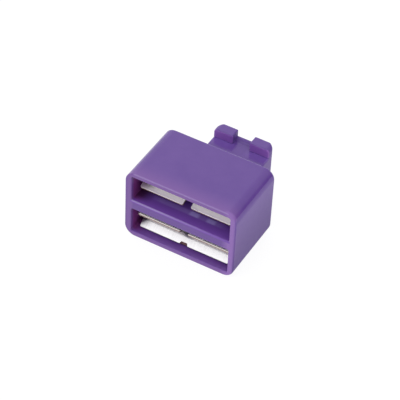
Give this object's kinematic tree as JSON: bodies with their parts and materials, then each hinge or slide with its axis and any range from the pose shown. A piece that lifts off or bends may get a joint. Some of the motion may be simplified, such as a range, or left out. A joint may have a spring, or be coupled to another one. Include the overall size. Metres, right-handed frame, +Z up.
{
  "type": "double blade connector",
  "caption": "Violet moulded connector block with two wide stacked slots, sprung plated sheet clips inside, and a rear sleeve with two raised hooks.",
  "frame": {"origin": "middle of the underside of the whole part", "axes": "+X to the right across the slots seen from the open front, +Y from the open front to the back, +Z up"},
  "size_m": [0.025, 0.027, 0.0168],
  "materials": {
    "violet_plastic": "satin violet moulded plastic",
    "clip_base_sheet": "tin-plated copper alloy",
    "clip_plate_sheet": "tin-plated copper alloy, brushed",
    "clip_finger_sheet": "tin-plated copper alloy, matt, with bare cut edges"
  },
  "bodies": {
    "block": {"housing": "violet_plastic", "lower_clip_base": "clip_base_sheet", "upper_clip_base": "clip_base_sheet"},
    "lower_plate": {"lower_clip_plate": "clip_plate_sheet"},
    "lower_finger_left": {"lower_clip_finger_left": "clip_finger_sheet"},
    "lower_finger_right": {"lower_clip_finger_right": "clip_finger_sheet"},
    "upper_plate": {"upper_clip_plate": "clip_plate_sheet"},
    "upper_finger_left": {"upper_clip_finger_left": "clip_finger_sheet"},
    "upper_finger_right": {"upper_clip_finger_right": "clip_finger_sheet"}
  },
  "joints": [
    {"name": "lower_plate_flex", "type": "hinge", "parent": "block", "child": "lower_plate", "pos_m": [0.0002, -0.00165, 0.00215], "axis": [1, 0, 0], "range_deg": [0, 1.2], "stiffness_Nm_per_rad": 0.05},
    {"name": "lower_finger_left_flex", "type": "hinge", "parent": "block", "child": "lower_finger_left", "pos_m": [-0.00556, -0.00165, 0.00445], "axis": [-1, 0, 0], "range_deg": [0, 5], "stiffness_Nm_per_rad": 0.05},
    {"name": "lower_finger_right_flex", "type": "hinge", "parent": "block", "child": "lower_finger_right", "pos_m": [0.00596, -0.00165, 0.00445], "axis": [-1, 0, 0], "range_deg": [0, 5], "stiffness_Nm_per_rad": 0.05},
    {"name": "upper_plate_flex", "type": "hinge", "parent": "block", "child": "upper_plate", "pos_m": [0.00038, -0.00123, 0.01465], "axis": [-1, 0, 0], "range_deg": [0, 1.2], "stiffness_Nm_per_rad": 0.05},
    {"name": "upper_finger_left_flex", "type": "hinge", "parent": "block", "child": "upper_finger_left", "pos_m": [-0.00538, -0.00123, 0.01235], "axis": [1, 0, 0], "range_deg": [0, 5], "stiffness_Nm_per_rad": 0.05},
    {"name": "upper_finger_right_flex", "type": "hinge", "parent": "block", "child": "upper_finger_right", "pos_m": [0.00614, -0.00123, 0.01235], "axis": [1, 0, 0], "range_deg": [0, 5], "stiffness_Nm_per_rad": 0.05}
  ]
}
